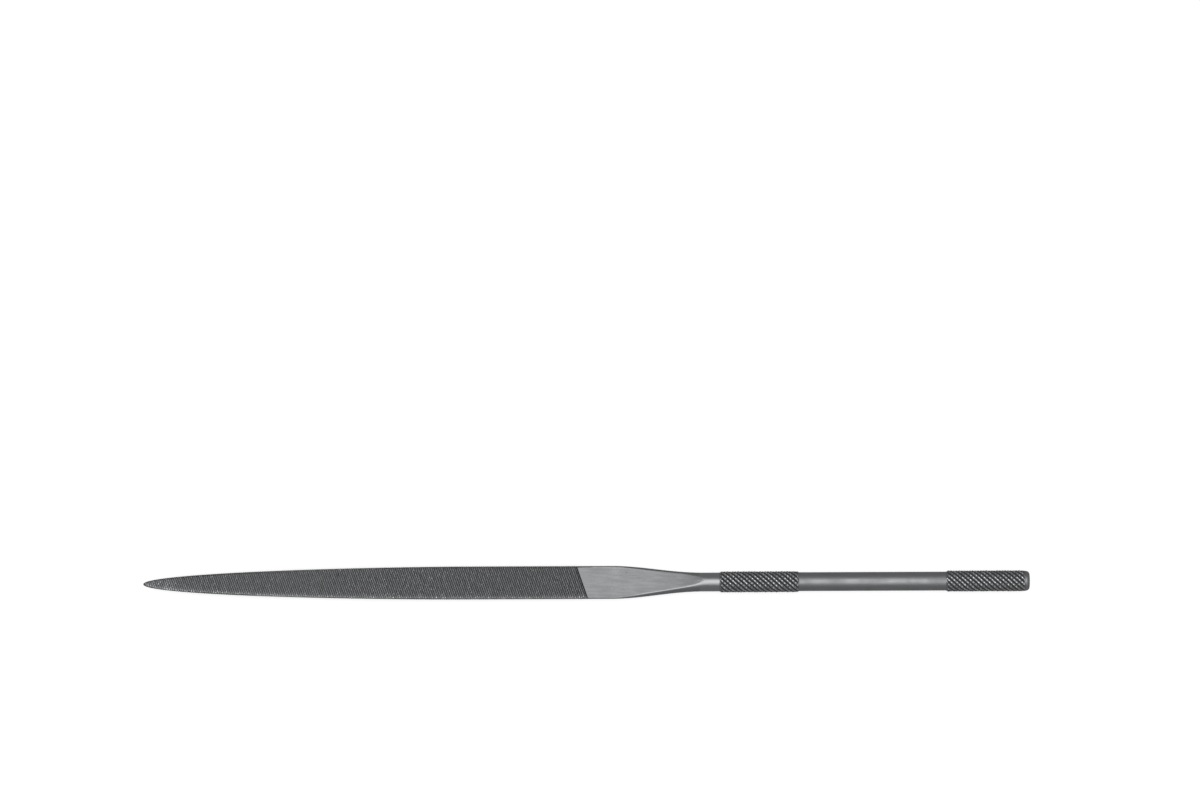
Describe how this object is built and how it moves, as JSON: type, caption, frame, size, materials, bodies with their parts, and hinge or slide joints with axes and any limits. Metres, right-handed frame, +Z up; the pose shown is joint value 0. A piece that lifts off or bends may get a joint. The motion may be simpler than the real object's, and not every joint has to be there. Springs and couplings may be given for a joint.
{
  "type": "flat needle file",
  "caption": "Flat needle file: a double-cut blade tapering to a point, a ground shoulder and a slim round handle with two diamond-knurled bands.",
  "frame": {"origin": "under the middle of the file, at the height of the lowest crests of the knurled bands", "axes": "+X along the file towards the butt end, +Y across the blade, +Z up through the blade's thickness"},
  "size_m": [0.16, 0.006, 0.0039],
  "materials": {
    "cut_steel": "dark hardened steel covered in fine double-cut teeth, matt with small glints",
    "ground_steel": "bright steel ground lengthwise, fine grinding lines",
    "turned_steel": "grey hardened steel, drawn and polished lengthwise, satin",
    "knurled_steel": "dark steel with rolled diamond knurls, crests rubbed bright"
  },
  "bodies": {
    "root": {"cut_blade": "cut_steel", "shoulder": "ground_steel", "neck": "turned_steel", "front_knurl": "knurled_steel", "mid_shank": "turned_steel", "rear_knurl": "knurled_steel", "butt_end": "turned_steel"}
  },
  "joints": []
}
